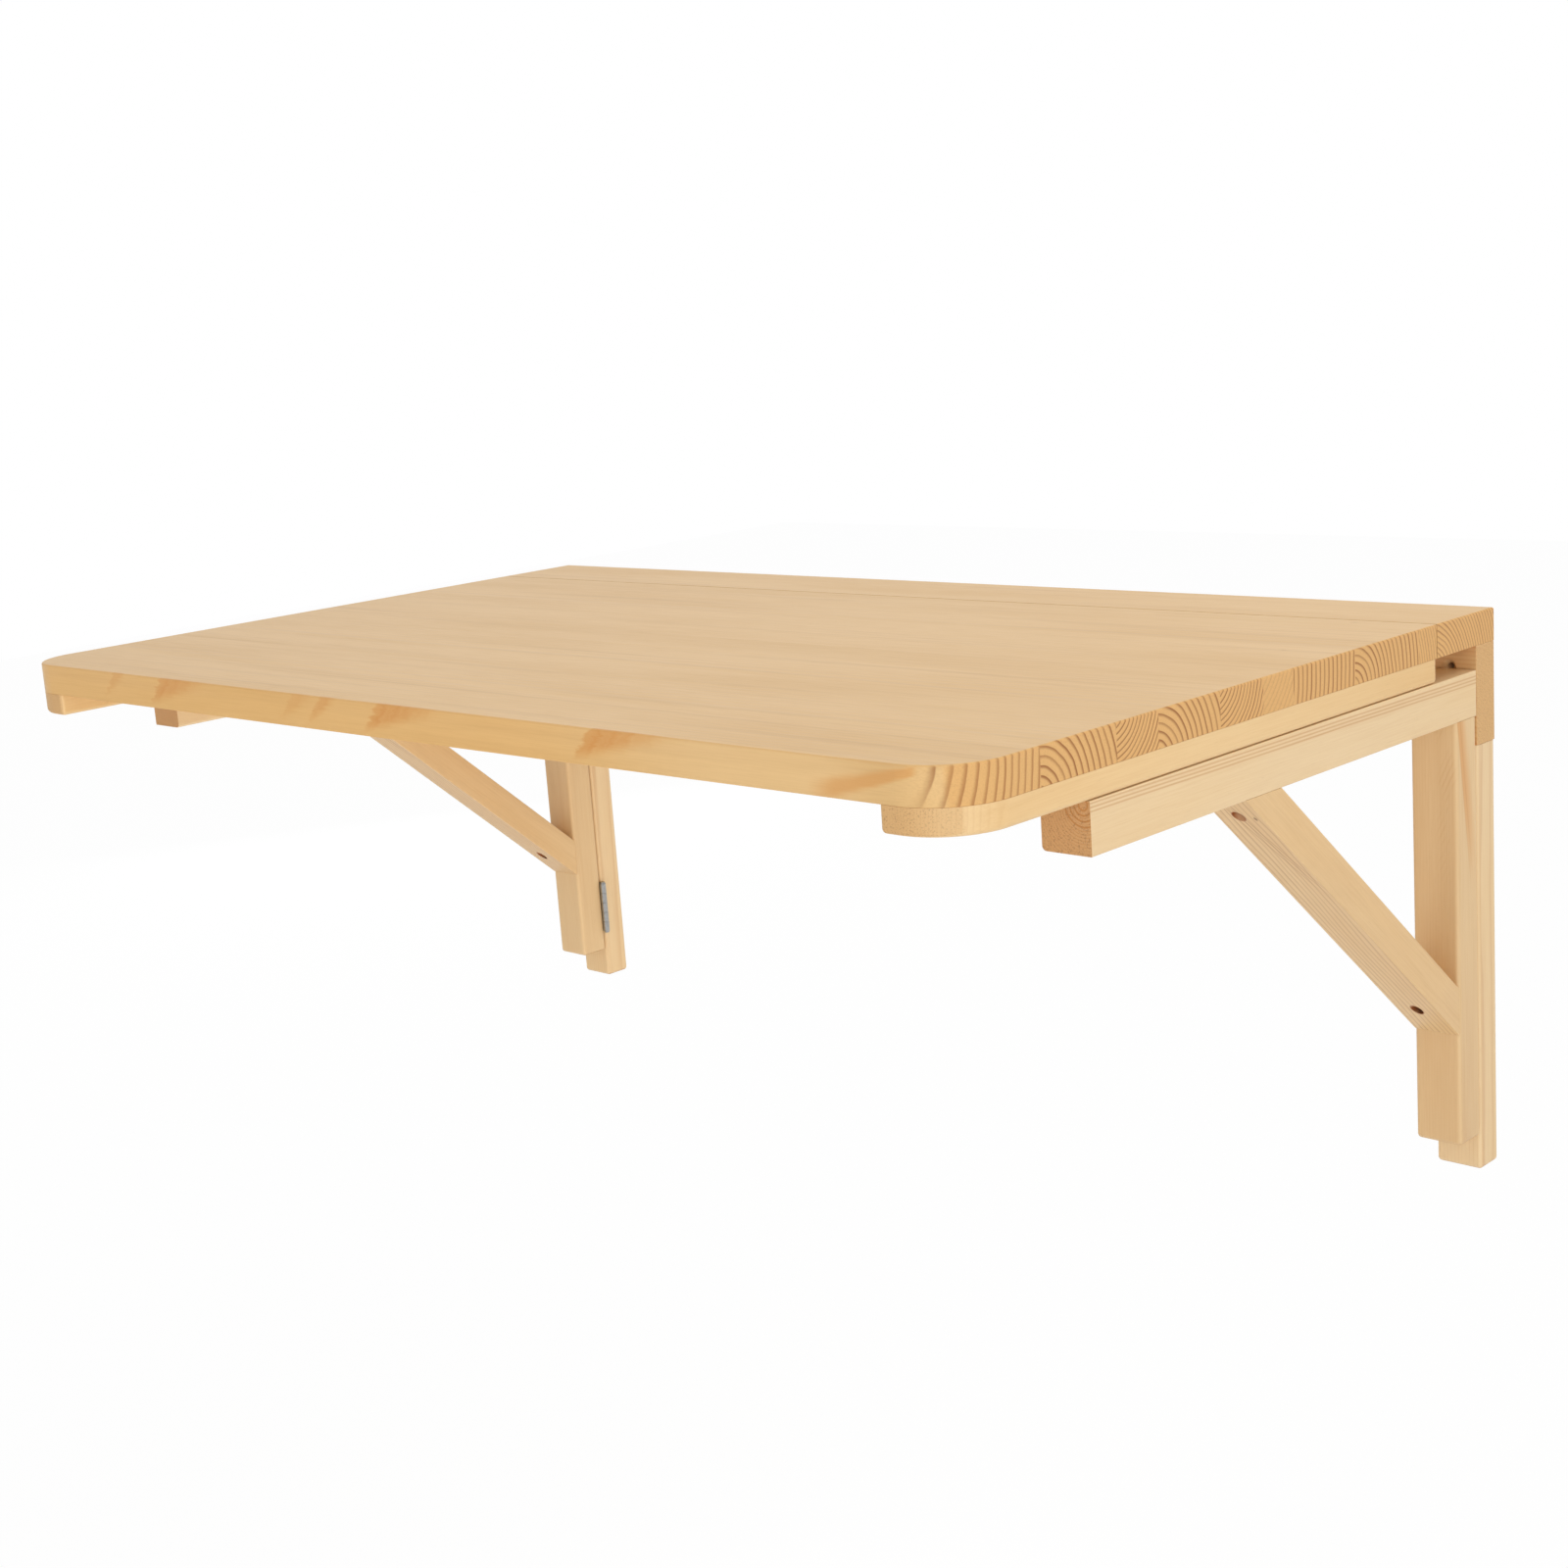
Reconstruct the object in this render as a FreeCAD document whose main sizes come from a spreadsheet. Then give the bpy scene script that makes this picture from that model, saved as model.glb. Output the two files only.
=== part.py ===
"""Wall mounted drop leaf table in pine.

X runs along the wall, Y into the wall and Z up. The origin lies on the wall, at mid
width, on the row of wall screws in the rail. A rail and two posts are screwed to the
wall. A narrow strip is fixed on the rail, and the leaf is hinged to its front edge.
Two brackets swing out on the posts and carry the battens under the leaf.
"""
import FreeCAD, Part
import Sketcher
import os
import re

X_WAY = FreeCAD.Vector(1, 0, 0)
Y_WAY = FreeCAD.Vector(0, 1, 0)
Z_WAY = FreeCAD.Vector(0, 0, 1)
TINY = 1e-4

SIDES = {"left": -1, "right": 1}

STAVES = [f"stave_{number}" for number in range(1, 10)]

# Driving dimensions in millimetres
SIZES = [
    ("top_width", "1000", "whole top, along the wall"),
    ("top_thick", "24", "thickness of strip and leaf"),
    ("corner_radius", "44", "front corners of the leaf, seen from above"),
    ("top_round", "1.5", "rounding of the upper edges of the top"),
    ("under_round", "0.4", "rounding of the lower edges of the top"),
    ("strip_depth", "81", "fixed strip behind the leaf"),
    ("seam_gap", "1.2", "open seam between strip and leaf"),
    ("stave_1", "73", "glued staves of the leaf, from front to back"),
    ("stave_2", "72", ""),
    ("stave_3", "42", ""),
    ("stave_4", "65", ""),
    ("stave_5", "48", ""),
    ("stave_6", "35", ""),
    ("stave_7", "75", ""),
    ("stave_8", "84", ""),
    ("stave_9", "23.8", ""),
    ("batten_width", "57", "battens under the ends of the leaf"),
    ("batten_thick", "17", "battens, downwards"),
    ("rail_height", "72", "wall rail"),
    ("rail_thick", "26", "wall rail and wall posts, out from the wall"),
    ("stock_width", "36", "wall posts, bracket posts, arms and braces, along the wall"),
    ("wall_post_length", "321", "below the rail"),
    ("arris_round", "0.6", "rounding of the edges of rail, arms and braces"),
    ("soft_round", "3.2", "rounding of posts, battens and the inner lower edge of an arm"),
    ("fixing_drop", "40", "upper face of the top to the row of wall screws in the rail"),
    ("fixing_inset", "21", "end of the rail to the first wall screw"),
    ("post_fixing_rise", "153", "foot of a wall post to its wall screw"),
    ("fixing_radius", "2.6", "clearance hole for a wall screw"),
    ("fixing_head_radius", "5.2", "countersink for a wall screw"),
    ("fold_gap", "1", "between wall post and bracket post"),
    ("rest_gap", "0.2", "between batten and arm"),
    ("bracket_post_thick", "29", "out from the wall"),
    ("bracket_post_length", "315", "below the arm"),
    ("arm_height", "33", "arm, upright"),
    ("arm_meet_gap", "4", "tip of a folded arm to mid width"),
    ("brace_run", "267", "bracket post to the lower edge of the brace, along the arm"),
    ("brace_drop", "230", "arm to the lower edge of the brace, along the post"),
    ("brace_thick", "27", "square to its slope"),
    ("plate_length", "50", "butt hinges, along the pin"),
    ("plate_width", "26", "butt hinges, from the pin outwards"),
    ("plate_thick", "1.5", "sheet of the hinge plates"),
    ("plate_gap", "0.2", "between the closed plates of a fold hinge"),
    ("knuckle_radius", "3", "barrel of the hinges"),
    ("knuckle_gap", "0.3", "between moving knuckles and what they pass"),
    ("barrel_gap", "0.2", "between knuckles and wood"),
    ("pin_radius", "1.5", "hinge pins"),
    ("pin_clearance", "0.04", "running fit of the pin in the knuckles"),
    ("pin_head_radius", "2.4", "flattened ends of the pins"),
    ("pin_head_thick", "1.2", ""),
    ("plate_screw_reach", "16", "pin to the screws of a hinge plate"),
    ("plate_screw_inset", "10", "end of a hinge plate to its screws"),
    ("recess_clearance", "0.2", "round a hinge plate that is let into a post"),
    ("fold_hinge_inset", "45", "rail or bracket foot to the middle of a fold hinge"),
    ("leaf_hinge_inset", "150", "end of the top to the middle of an outer leaf hinge"),
    ("plate_screw_radius", "1.6", "hinge screws"),
    ("plate_screw_head", "3.1", ""),
    ("plate_screw_length", "14", ""),
    ("batten_screw_radius", "2", "screws through the battens"),
    ("batten_screw_head", "4", ""),
    ("batten_screw_length", "32", ""),
    ("brace_screw_radius", "2.2", "screws sunk into the braces"),
    ("brace_screw_head", "3.8", ""),
    ("brace_screw_length", "30", ""),
    ("brace_screw_web", "9", "wood under the head of a brace screw"),
    ("brace_bore_radius", "4.3", "hole that sinks the head of a brace screw"),
    ("brace_screw_front", "18.5", "front tip of a brace to its upper screw"),
    ("brace_screw_rise", "24.5", "lower tip of a brace to its lower screw"),
    ("drive_width", "0.9", "cross recess in the screw heads"),
    ("drive_span", "3.4", ""),
    ("drive_depth", "1.1", ""),
    ("screw_clearance", "0.1", "between a screw and its hole"),
    ("dowel_radius", "4", "dowels between rail, strip, posts and arms"),
    ("dowel_length", "28", "half in each piece"),
    ("dowel_spacing", "18", "between the two dowels of a post"),
    ("dowel_clearance", "0.1", "between a dowel and its hole"),
    ("strip_dowel_inset", "100", "end of the top to the first dowel of the strip"),
]
STRIP_DOWELS = 5
RAIL_FIXINGS = 4
KNUCKLES = 5

# Places that follow from the driving dimensions
PLACES = [
    ("half_width", "top_width / 2"),
    ("leaf_depth", " + ".join(STAVES)),
    ("leaf_rear", "strip_depth + seam_gap"),
    ("top_depth", "leaf_rear + leaf_depth"),
    ("under_z", "fixing_drop - top_thick"),
    ("batten_z", "under_z - batten_thick"),
    ("rail_z", "under_z - rail_height"),
    ("wall_foot_z", "rail_z - wall_post_length"),
    ("arm_z", "batten_z - rest_gap - arm_height"),
    ("bracket_foot_z", "arm_z - bracket_post_length"),
    ("bracket_back", "rail_thick + fold_gap"),
    ("bracket_face", "bracket_back + bracket_post_thick"),
    ("stock_middle", "half_width - stock_width / 2"),
    ("stock_inside", "half_width - stock_width"),
    ("batten_middle", "half_width - batten_width / 2"),
    ("barrel_reach", "knuckle_radius + barrel_gap"),
    ("fold_axis_x", "stock_inside - barrel_reach"),
    ("fold_axis_y", "-(rail_thick + fold_gap / 2)"),
    ("leaf_axis_y", "-(strip_depth + seam_gap / 2)"),
    ("leaf_axis_z", "under_z - barrel_reach"),
    ("arm_length", "fold_axis_x - fold_gap / 2 - arm_meet_gap"),
    ("brace_length", "sqrt(brace_run * brace_run + brace_drop * brace_drop)"),
    ("brace_top", "brace_thick * brace_length / brace_drop"),
    ("brace_foot", "brace_thick * brace_length / brace_run"),
    ("bore_radius", "pin_radius + pin_clearance"),
    ("knuckle_step", "plate_length / " + str(KNUCKLES)),
]

doc = FreeCAD.newDocument("drop_leaf_table")
sheet = doc.addObject("Spreadsheet::Sheet", "Sizes")
ALIASES = [row[0] for row in SIZES + PLACES]
exported = []


def cell(text):
    """The expression with each size's name pointed at its cell."""
    return re.sub(r"[a-z]\w*", lambda word: named_cell(word.group()), text)


def named_cell(word):
    return "Sizes." + word if word in ALIASES else word


def fill_sheet():
    for row, (alias, value, note) in enumerate(SIZES, start=1):
        sheet.set(f"A{row}", note)
        sheet.set(f"B{row}", value)
        sheet.setAlias(f"B{row}", alias)
    for row, (alias, formula) in enumerate(PLACES, start=len(SIZES) + 1):
        sheet.set(f"B{row}", "=" + formula)
        sheet.setAlias(f"B{row}", alias)
    doc.recompute()


def number(text):
    """What an expression on the sizes comes to, in millimetres."""
    return float(sheet.evalExpression(cell(text)))


def point(x, y, z):
    return FreeCAD.Vector(number(x), number(y), number(z))


def bind(item, sizes, at=None):
    """Ties an object's sizes, and its place if given, to the sheet."""
    for name, text in sizes.items():
        item.setExpression(name, cell(text))
    for axis, text in zip("xyz", at or ()):
        item.setExpression("Placement.Base." + axis, cell(text))
    return item


def solid(kind, name, sizes, at=("0", "0", "0")):
    return bind(doc.addObject(kind, name), sizes, at)


def fuse(name, pieces):
    joined = doc.addObject("Part::MultiFuse", name)
    joined.Shapes = pieces
    return joined


def cut(label, base, tools):
    """The base less its tools, which are joined first if there are several."""
    result = doc.addObject("Part::Cut", label)
    result.Base = base
    result.Tool = tools[0] if len(tools) == 1 else fuse(label + "_tools", tools)
    return result


def keep(item, label):
    """Marks an object as a finished piece of the table."""
    item.Label = label
    exported.append(item)
    return item


# Boards


def rectangle(sketch, wide, deep):
    """A rectangle with one corner on the sketch's origin."""
    far_x = number(wide)
    far_y = number(deep)
    corners = [(0, 0), (far_x, 0), (far_x, far_y), (0, far_y)]
    for start, end in zip(corners, corners[1:] + corners[:1]):
        sketch.addGeometry(Part.LineSegment(FreeCAD.Vector(*start), FreeCAD.Vector(*end)))
    for line in range(4):
        sketch.addConstraint(Sketcher.Constraint("Coincident", line, 2, (line + 1) % 4, 1))
        sketch.addConstraint(Sketcher.Constraint(("Horizontal", "Vertical")[line % 2], line))
    sketch.addConstraint(Sketcher.Constraint("Coincident", 0, 1, -1, 1))
    name_size(sketch, "DistanceX", (0, 1, 0, 2), "wide", wide)
    name_size(sketch, "DistanceY", (1, 1, 1, 2), "deep", deep)


def name_size(sketch, kind, ends, name, text):
    """A named dimension of a sketch that follows the sheet."""
    index = sketch.addConstraint(Sketcher.Constraint(kind, *ends, number(text)))
    sketch.renameConstraint(index, name)
    sketch.setExpression("Constraints." + name, cell(text))


def padded(name, draw, tall, at):
    """A body padded from a sketch on its own XY plane."""
    body = doc.addObject("PartDesign::Body", name)
    sketch = body.newObject("Sketcher::SketchObject", name + "_outline")
    plane = [item for item in body.Origin.OriginFeatures if item.Role == "XY_Plane"][0]
    sketch.AttachmentSupport = [(plane, "")]
    sketch.MapMode = "FlatFace"
    draw(sketch)
    pad = body.newObject("PartDesign::Pad", name + "_pad")
    pad.Profile = sketch
    bind(pad, {"Length": tall})
    bind(body, {}, at)
    doc.recompute()
    return body


def soften(body, radius, wanted):
    """Rounds the edges of a body that the test picks."""
    base = body.Tip
    edges = [f"Edge{i}" for i, edge in enumerate(base.Shape.Edges, start=1) if wanted(edge)]
    fillet = body.newObject("PartDesign::Fillet", body.Name + "_round")
    fillet.Base = (base, edges)
    bind(fillet, {"Radius": radius})
    doc.recompute()


def board(name, wide, deep, tall, at):
    """A plain square edged board."""
    return padded(name, lambda sketch: rectangle(sketch, wide, deep), tall, at)


def post(name, deep, tall, at):
    """An upright board, rounded on all edges but those of its upper end."""
    body = board(name, "stock_width", deep, tall, at)
    top = number(tall) - TINY
    soften(body, "soft_round", lambda edge: edge.BoundBox.ZMin < top)
    return body


def upright(edge):
    return edge.BoundBox.ZLength > TINY


def top_board(name, deep, rear, seam, corner=None):
    """A board of the table top. Its upper and lower edges are rounded, except at the seam."""
    body = board(name, "top_width", deep, "top_thick",
                 ("-half_width", f"-({rear} + {deep})", "under_z"))
    if corner:
        soften(body, corner, lambda edge: upright(edge) and not along(edge, number(seam)))
    for level, radius in (("top_thick", "top_round"), ("0", "under_round")):
        soften(body, radius, lambda edge: level_at(edge, number(level)) and not along(edge, number(seam)))
    return body


def along(edge, deep):
    return abs(edge.BoundBox.YMin - deep) < TINY and abs(edge.BoundBox.YMax - deep) < TINY


def level_at(edge, height):
    return abs(edge.BoundBox.ZMin - height) < TINY and abs(edge.BoundBox.ZMax - height) < TINY


# Screws and dowels


def make_screw(name, radius, head, length, sink_radius, sink_length):
    """A countersunk screw that points along +Z from its head, and the hole that it fits."""
    cone_height = f"({head} - {radius})"
    shaft = {"Radius": radius, "Height": f"{length} - {head}"}
    shaft_at = ("0", "0", cone_height)
    tip = {"Radius1": radius, "Radius2": f"{radius} / 4", "Height": radius}
    pieces = [
        solid("Part::Cone", name + "_head", {"Radius1": head, "Radius2": radius, "Height": cone_height}),
        solid("Part::Cylinder", name + "_shaft", shaft, shaft_at),
        solid("Part::Cone", name + "_tip", tip, ("0", "0", f"{length} - {radius}")),
    ]
    recess = [
        drive_slot(name + "_slot_x", "drive_span", "drive_width"),
        drive_slot(name + "_slot_y", "drive_width", "drive_span"),
    ]
    screw = cut(name, fuse(name + "_blank", pieces), recess)
    wider = {
        "Radius": f"{radius} + screw_clearance",
        "Height": f"{length} - {cone_height} + screw_clearance",
    }
    cone = {
        "Radius1": f"{head} + screw_clearance",
        "Radius2": f"{radius} + screw_clearance",
        "Height": cone_height,
    }
    sink = {"Radius": sink_radius, "Height": sink_length}
    hole = fuse(name + "_hole", [
        solid("Part::Cone", name + "_hole_cone", cone),
        solid("Part::Cylinder", name + "_hole_shaft", wider, shaft_at),
        solid("Part::Cylinder", name + "_hole_sink", sink, ("0", "0", f"-({sink_length})")),
    ])
    return screw, hole


def drive_slot(name, wide, deep):
    sizes = {"Length": wide, "Width": deep, "Height": "drive_depth"}
    return solid("Part::Box", name, sizes, (f"-{wide} / 2", f"-{deep} / 2", "0"))


def make_dowel():
    """A dowel about its middle, and the hole that it fits."""
    pin = {"Radius": "dowel_radius", "Height": "dowel_length"}
    bore = {"Radius": "dowel_radius + dowel_clearance", "Height": "dowel_length + 2 * dowel_clearance"}
    dowel = solid("Part::Cylinder", "dowel", pin, ("0", "0", "-dowel_length / 2"))
    hole = solid("Part::Cylinder", "dowel_hole", bore,
                 ("0", "0", "-(dowel_length / 2 + dowel_clearance)"))
    return dowel, hole


def facing(spot, way):
    """A place at a spot, with +Z turned to a way."""
    return FreeCAD.Placement(spot, FreeCAD.Rotation(Z_WAY, way))


def copies(name, master, places):
    """Separate copies of a finished shape in one object."""
    shapes = []
    for place in places:
        shape = master.Shape.copy()
        shape.Placement = place.multiply(shape.Placement)
        shapes.append(shape)
    group = doc.addObject("Part::Feature", name)
    group.Shape = Part.makeCompound(shapes)
    return group


# Butt hinges, first about a pin on the local Z axis


def knuckle(name, index, radius, gap):
    """One round of the barrel, shorter than its share by a gap, or longer by a negative one."""
    sizes = {"Radius": radius, "Height": f"knuckle_step - {gap}"}
    low = f"knuckle_step * {index} - plate_length / 2 + {gap} / 2"
    return solid("Part::Cylinder", name, sizes, ("0", "0", low))


def hinge_half(label, reach, low, moving, screw_places, place, at):
    """A hinge plate with its knuckles. It reaches to +X or -X from the pin."""
    start = "0" if reach > 0 else "-plate_width"
    plate_sizes = {"Length": "plate_width", "Width": "plate_thick", "Height": "plate_length"}
    plate = solid("Part::Box", label + "_plate", plate_sizes, (start, low, "-plate_length / 2"))
    own = [index for index in range(KNUCKLES) if index % 2 == moving]
    other = [index for index in range(KNUCKLES) if index % 2 != moving]
    rounds = [knuckle(f"{label}_knuckle_{i}", i, "knuckle_radius", "knuckle_gap") for i in own]
    room = [knuckle(f"{label}_room_{i}", i, "knuckle_radius + knuckle_gap", "-knuckle_gap") for i in other]
    bore_sizes = {"Radius": "bore_radius", "Height": "2 * plate_length"}
    bore = solid("Part::Cylinder", label + "_bore", bore_sizes, ("0", "0", "-plate_length"))
    holes = copies(label + "_holes", plate_screw_hole, screw_places)
    half = cut(label, fuse(label + "_blank", [plate] + rounds), room + [bore, holes])
    half.Placement = place
    return keep(bind(half, {}, at), label)


def hinge_pin(label, place, at):
    shaft_sizes = {"Radius": "pin_radius", "Height": "plate_length + 2 * pin_head_thick"}
    shaft = solid("Part::Cylinder", label + "_shaft", shaft_sizes,
                  ("0", "0", "-plate_length / 2 - pin_head_thick"))
    head_sizes = {"Radius": "pin_head_radius", "Height": "pin_head_thick"}
    heads = []
    for name, height in (("upper", "plate_length / 2"), ("lower", "-plate_length / 2 - pin_head_thick")):
        heads.append(solid("Part::Cylinder", f"{label}_{name}", head_sizes, ("0", "0", height)))
    pin = fuse(label, [shaft] + heads)
    pin.Placement = place
    return keep(bind(pin, {}, at), label)


def plate_screws(reach, face, way):
    """Places of a plate's two screws about the pin, heads on the face."""
    spots = []
    for end in (-1, 1):
        height = f"{end} * (plate_length / 2 - plate_screw_inset)"
        spots.append(facing(point(f"{reach} * plate_screw_reach", face, height), Y_WAY * way))
    return spots


# Built up piece by piece

fill_sheet()

plate_screw, plate_screw_hole = make_screw(
    "plate_screw", "plate_screw_radius", "plate_screw_head", "plate_screw_length",
    "plate_screw_head + screw_clearance", "plate_thick")
batten_screw, batten_screw_hole = make_screw(
    "batten_screw", "batten_screw_radius", "batten_screw_head", "batten_screw_length",
    "batten_screw_head + screw_clearance", "batten_thick")
brace_screw, brace_screw_hole = make_screw(
    "brace_screw", "brace_screw_radius", "brace_screw_head", "brace_screw_length",
    "brace_bore_radius", "brace_length")
wall_screw, wall_screw_hole = make_screw(
    "wall_screw", "fixing_radius", "fixing_head_radius", "2 * rail_thick",
    "fixing_head_radius + screw_clearance", "rail_thick")
dowel, dowel_hole = make_dowel()
doc.recompute()


def fold_hinges():
    """Two let in butt hinges between each wall post and its bracket post."""
    screws = {}
    heights = {
        "upper": "rail_z - fold_hinge_inset",
        "lower": "bracket_foot_z + fold_hinge_inset",
    }
    for side, sign in SIDES.items():
        for half in ("wall", "bracket"):
            screws[half, side] = []
        for level, height in heights.items():
            at = (f"{sign} * fold_axis_x", "fold_axis_y", height)
            place = FreeCAD.Placement(point(*at), FreeCAD.Rotation())
            name = f"fold_hinge_{level}_{side}"
            for moving, half, low, face, way in (
                (0, "wall", "plate_gap / 2", "plate_gap / 2", 1),
                (1, "bracket", "-(plate_gap / 2 + plate_thick)", "-plate_gap / 2", -1),
            ):
                spots = plate_screws(sign, face, way)
                hinge_half(f"{name}_{half}_plate", sign, low, moving, spots, place, at)
                screws[half, side] += [place.multiply(spot) for spot in spots]
            hinge_pin(name + "_pin", place, at)
    return screws


def leaf_hinges():
    """Three butt hinges laid flat under the seam, with the pin along X."""
    screws = {"strip": [], "leaf": []}
    lying = FreeCAD.Rotation(Y_WAY, Z_WAY, X_WAY, "ZXY")
    low = "barrel_reach - plate_thick"
    for name, across in (("left", "leaf_hinge_inset - half_width"), ("middle", "0"),
                         ("right", "half_width - leaf_hinge_inset")):
        at = (across, "leaf_axis_y", "leaf_axis_z")
        place = FreeCAD.Placement(point(*at), lying)
        for moving, half, reach in ((0, "strip", 1), (1, "leaf", -1)):
            spots = plate_screws(reach, low, 1)
            hinge_half(f"leaf_hinge_{name}_{half}_plate", reach, low, moving, spots, place, at)
            screws[half] += [place.multiply(spot) for spot in spots]
        hinge_pin(f"leaf_hinge_{name}_pin", place, at)
    return screws


def recess(name, sign, height, near, deep):
    """Room for one plate of a fold hinge in the face of a post."""
    sizes = {
        "Length": "plate_width + recess_clearance",
        "Width": deep,
        "Height": "plate_length + 2 * recess_clearance",
    }
    start = "fold_axis_x" if sign > 0 else "-fold_axis_x - plate_width - recess_clearance"
    return solid("Part::Box", name, sizes, (start, near, f"{height} - plate_length / 2 - recess_clearance"))


def dowel_pair(sign, deep, height):
    """Places of the two upright dowels in the end of a post."""
    spots = []
    for step in (-1, 1):
        across = f"{sign} * stock_middle + {step} * dowel_spacing / 2"
        spots.append(facing(point(across, deep, height), Z_WAY))
    return spots


def wall_frame(hinge_screws, strip_screws):
    rail_fixings = []
    for index in range(RAIL_FIXINGS):
        share = f"(2 * {index} / {RAIL_FIXINGS - 1} - 1)"
        spot = point(f"{share} * (half_width - fixing_inset)", "-rail_thick", "0")
        rail_fixings.append(facing(spot, Y_WAY))
    strip_dowels = []
    for index in range(STRIP_DOWELS):
        share = f"(2 * {index} / {STRIP_DOWELS - 1} - 1)"
        spot = point(f"{share} * (half_width - strip_dowel_inset)", "-rail_thick / 2", "under_z")
        strip_dowels.append(facing(spot, Z_WAY))
    post_dowels = []
    for sign in SIDES.values():
        post_dowels += dowel_pair(sign, "-rail_thick / 2", "rail_z")

    rail = board("rail_blank", "top_width", "rail_thick", "rail_height",
                 ("-half_width", "-rail_thick", "rail_z"))
    soften(rail, "arris_round", lambda edge: True)
    rail_holes = [
        copies("rail_fixing_holes", wall_screw_hole, rail_fixings),
        copies("rail_dowel_holes", dowel_hole, strip_dowels + post_dowels),
    ]
    keep(cut("wall_rail", rail, rail_holes), "wall_rail")

    strip = top_board("strip_blank", "strip_depth", "0", "0")
    strip_holes = [
        copies("strip_dowel_holes", dowel_hole, strip_dowels),
        copies("strip_screw_holes", plate_screw_hole, strip_screws),
    ]
    keep(cut("rear_strip", strip, strip_holes), "rear_strip")

    for side, sign in SIDES.items():
        wall_post(side, sign, hinge_screws["wall", side])
        label = f"fold_hinge_screws_wall_{side}"
        keep(copies(label, plate_screw, hinge_screws["wall", side]), label)
    keep(copies("rear_strip_dowels", dowel, strip_dowels), "rear_strip_dowels")
    keep(copies("wall_post_dowels", dowel, post_dowels), "wall_post_dowels")
    keep(copies("leaf_hinge_screws_strip", plate_screw, strip_screws), "leaf_hinge_screws_strip")


def wall_post(side, sign, hinge_screws):
    label = f"wall_post_{side}"
    start = "stock_inside" if sign > 0 else "-half_width"
    blank = post(label + "_blank", "rail_thick", "wall_post_length", (start, "-rail_thick", "wall_foot_z"))
    fixing = point(f"{sign} * stock_middle", "-rail_thick", "wall_foot_z + post_fixing_rise")
    plate_back = "fold_axis_y + plate_gap / 2 + plate_thick"
    depth = f"rail_thick + ({plate_back})"
    holes = [
        recess(label + "_upper_recess", sign, "rail_z - fold_hinge_inset", "-rail_thick", depth),
        recess(label + "_lower_recess", sign, "bracket_foot_z + fold_hinge_inset", "-rail_thick", depth),
        copies(label + "_screw_holes", plate_screw_hole, hinge_screws),
        copies(label + "_fixing_hole", wall_screw_hole, [facing(fixing, Y_WAY)]),
        copies(label + "_dowel_holes", dowel_hole, dowel_pair(sign, "-rail_thick / 2", "rail_z")),
    ]
    keep(cut(label, blank, holes), label)


def drop_leaf(leaf_screws):
    """Staves sawn from one rounded and drilled panel, and the battens under its ends."""
    batten_screws = {}
    for side, sign in SIDES.items():
        batten_screws[side] = []
        for index in range(0, len(STAVES), 2):
            front = " + ".join(STAVES[:index] + [STAVES[index] + " / 2"])
            spot = point(f"{sign} * batten_middle", f"-(top_depth - ({front}))", "batten_z")
            batten_screws[side].append(facing(spot, Z_WAY))

    panel = top_board("leaf_panel", "leaf_depth", "leaf_rear", "leaf_depth", "corner_radius")
    panel_holes = [
        copies("leaf_hinge_holes", plate_screw_hole, leaf_screws),
        copies("leaf_batten_holes", batten_screw_hole, batten_screws["left"] + batten_screws["right"]),
    ]
    drilled = cut("leaf_drilled", panel, panel_holes)
    for index, stave in enumerate(STAVES):
        reach = " + ".join(STAVES[:index]) or "0"
        saw = solid("Part::Box", stave + "_saw",
                    {"Length": "2 * top_width", "Width": stave, "Height": "3 * top_thick"},
                    ("-top_width", f"-(top_depth - ({reach}))", "under_z - top_thick"))
        piece = doc.addObject("Part::Common", "leaf_" + stave)
        piece.Base = drilled
        piece.Tool = saw
        keep(piece, "leaf_" + stave)

    for side, sign in SIDES.items():
        label = f"leaf_batten_{side}"
        start = "half_width - batten_width" if sign > 0 else "-half_width"
        blank = board(label + "_blank", "batten_width", "leaf_depth", "batten_thick",
                      (start, "-top_depth", "batten_z"))
        outer_x = number("batten_width") if sign > 0 else 0
        soften(blank, "corner_radius", lambda edge: outer_front(edge, outer_x))
        inner_x = number("batten_width") - outer_x
        soften(blank, "soft_round", lambda edge: batten_arris(edge, inner_x))
        holes = copies(label + "_holes", batten_screw_hole, batten_screws[side])
        keep(cut(label, blank, [holes]), label)
        label = f"leaf_batten_screws_{side}"
        keep(copies(label, batten_screw, batten_screws[side]), label)
    keep(copies("leaf_hinge_screws_leaf", plate_screw, leaf_screws), "leaf_hinge_screws_leaf")


def outer_front(edge, outer_x):
    box = edge.BoundBox
    return upright(edge) and box.YMax < TINY and abs(box.Center.x - outer_x) < TINY


def batten_arris(edge, inner_x):
    box = edge.BoundBox
    at_rear = box.YMin > number("leaf_depth") - TINY
    at_inside = abs(box.Center.x - inner_x) < TINY
    return box.ZMax < TINY or (upright(edge) and (at_rear or at_inside))


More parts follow.
